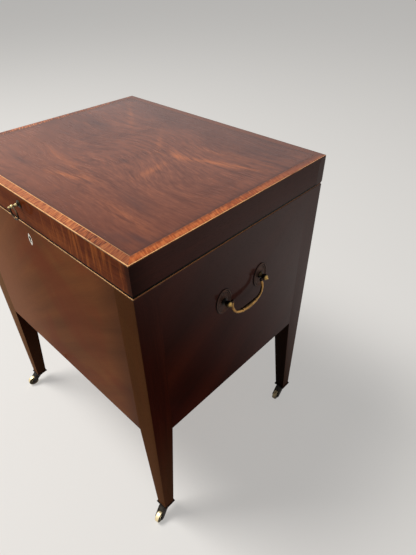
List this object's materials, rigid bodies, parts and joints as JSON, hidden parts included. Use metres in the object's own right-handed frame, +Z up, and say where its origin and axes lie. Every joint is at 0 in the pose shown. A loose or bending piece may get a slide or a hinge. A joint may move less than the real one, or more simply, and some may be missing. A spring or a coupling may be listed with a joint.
{
  "type": "cellarette",
  "caption": "Mahogany bottle box on tapered legs with castors, with a hinged crossbanded lid, ring pull, box lock, bone escutcheon and brass side handles.",
  "frame": {"origin": "on the floor under the wheels, in the middle of the whole piece's width and depth", "axes": "+Z up, +X to the right of a person facing the front, -Y towards that person (the front, with ring pull and keyhole)"},
  "size_m": [0.5802, 0.4668, 0.6685],
  "materials": {
    "mahogany": "French-polished mahogany, deep red-brown and glossy",
    "mahogany_figured": "figured mahogany veneer, French-polished, arcing grain",
    "crossbanding": "crossbanded veneer with its grain across the strip, polished",
    "boxwood": "boxwood stringing, yellowed by its polish",
    "pine": "plain inner wood, waxed and darkened with age",
    "brass": "old cast brass, dark in the hollows and rubbed bright on top",
    "brass_dark": "old brass toned almost black-brown",
    "bone": "polished bone, cream and a little yellowed",
    "iron": "old iron screws, dull grey-brown"
  },
  "bodies": {
    "carcase": {"leg_front_left": "mahogany", "leg_front_right": "mahogany", "leg_back_left": "mahogany", "leg_back_right": "mahogany", "front_panel": "mahogany", "back_panel": "mahogany", "left_panel": "mahogany", "right_panel": "mahogany", "bottom_board": "pine", "bottom_battens": "pine", "long_divisions": "pine", "cross_divisions": "pine", "carcase_edge_lines": "boxwood", "escutcheon": "bone", "lock_case": "brass", "lock_cap": "brass", "lock_screws": "iron", "hinge_pins": "iron", "carcase_hinge_screws": "iron", "castor_plates": "brass_dark", "castor_screws": "iron", "left_hinge_carcase_leaf": "brass", "left_handle_backplates": "brass_dark", "left_handle_posts": "brass", "left_handle_nuts": "brass_dark", "right_hinge_carcase_leaf": "brass", "right_handle_backplates": "brass_dark", "right_handle_posts": "brass", "right_handle_nuts": "brass_dark"},
    "lid": {"lid_front_rail": "mahogany", "lid_back_rail": "mahogany", "lid_left_rail": "mahogany", "lid_right_rail": "mahogany", "lid_panel": "mahogany_figured", "lid_crossbanding": "crossbanding", "lid_edge_lines": "boxwood", "lid_inner_lines": "boxwood", "lid_hinge_screws": "iron", "left_hinge_lid_leaf": "brass", "right_hinge_lid_leaf": "brass", "lock_link_plate": "brass", "link_plate_screws": "iron", "pull_post": "brass", "pull_nut": "brass_dark"},
    "pull_ring": {"pull_ring": "brass"},
    "lock_bolt": {"lock_bolt": "brass_dark"},
    "left_bail": {"left_handle_bail": "brass"},
    "right_bail": {"right_handle_bail": "brass"},
    "castor_front_left": {"castor_fork_front_left": "brass", "castor_pins_front_left": "brass_dark"},
    "wheel_front_left": {"castor_wheel_front_left": "brass"},
    "castor_front_right": {"castor_fork_front_right": "brass", "castor_pins_front_right": "brass_dark"},
    "wheel_front_right": {"castor_wheel_front_right": "brass"},
    "castor_back_left": {"castor_fork_back_left": "brass", "castor_pins_back_left": "brass_dark"},
    "wheel_back_left": {"castor_wheel_back_left": "brass"},
    "castor_back_right": {"castor_fork_back_right": "brass", "castor_pins_back_right": "brass_dark"},
    "wheel_back_right": {"castor_wheel_back_right": "brass"}
  },
  "joints": [
    {"name": "lid_hinge", "type": "hinge", "parent": "carcase", "child": "lid", "pos_m": [0, 0.2286, 0.6164], "axis": [-1, 0, 0], "range_deg": [0, 95]},
    {"name": "pull_ring_swing", "type": "hinge", "parent": "lid", "child": "pull_ring", "pos_m": [0, -0.2199, 0.652], "axis": [-1, 0, 0], "range_deg": [-20, 160]},
    {"name": "right_bail_swing", "type": "hinge", "parent": "carcase", "child": "right_bail", "pos_m": [0.2795, 0.0116, 0.502], "axis": [0, -1, 0], "range_deg": [-10, 150]},
    {"name": "left_bail_swing", "type": "hinge", "parent": "carcase", "child": "left_bail", "pos_m": [-0.2795, 0.0116, 0.502], "axis": [0, 1, 0], "range_deg": [-10, 150]},
    {"name": "lock_bolt_slide", "type": "slide", "parent": "carcase", "child": "lock_bolt", "axis": [1, 0, 0], "range_m": [0, 0.006]},
    {"name": "swivel_front_left", "type": "hinge", "parent": "carcase", "child": "castor_front_left", "pos_m": [-0.2564, -0.1968, 0.036], "axis": [0, 0, 1], "continuous": true},
    {"name": "roll_front_left", "type": "hinge", "parent": "castor_front_left", "child": "wheel_front_left", "pos_m": [-0.26098, -0.22036, 0.0125], "axis": [0.9816, -0.1908, 0], "continuous": true},
    {"name": "swivel_front_right", "type": "hinge", "parent": "carcase", "child": "castor_front_right", "pos_m": [0.2564, -0.1968, 0.036], "axis": [0, 0, 1], "continuous": true},
    {"name": "roll_front_right", "type": "hinge", "parent": "castor_front_right", "child": "wheel_front_right", "pos_m": [0.26098, -0.22036, 0.0125], "axis": [0.9816, 0.1908, 0], "continuous": true},
    {"name": "swivel_back_left", "type": "hinge", "parent": "carcase", "child": "castor_back_left", "pos_m": [-0.2564, 0.22, 0.036], "axis": [0, 0, 1], "continuous": true},
    {"name": "roll_back_left", "type": "hinge", "parent": "castor_back_left", "child": "wheel_back_left", "pos_m": [-0.25933, 0.19618, 0.0125], "axis": [0.9925, -0.1219, 0], "continuous": true},
    {"name": "swivel_back_right", "type": "hinge", "parent": "carcase", "child": "castor_back_right", "pos_m": [0.2564, 0.22, 0.036], "axis": [0, 0, 1], "continuous": true},
    {"name": "roll_back_right", "type": "hinge", "parent": "castor_back_right", "child": "wheel_back_right", "pos_m": [0.25766, 0.19603, 0.0125], "axis": [0.9986, 0.0523, 0], "continuous": true}
  ]
}
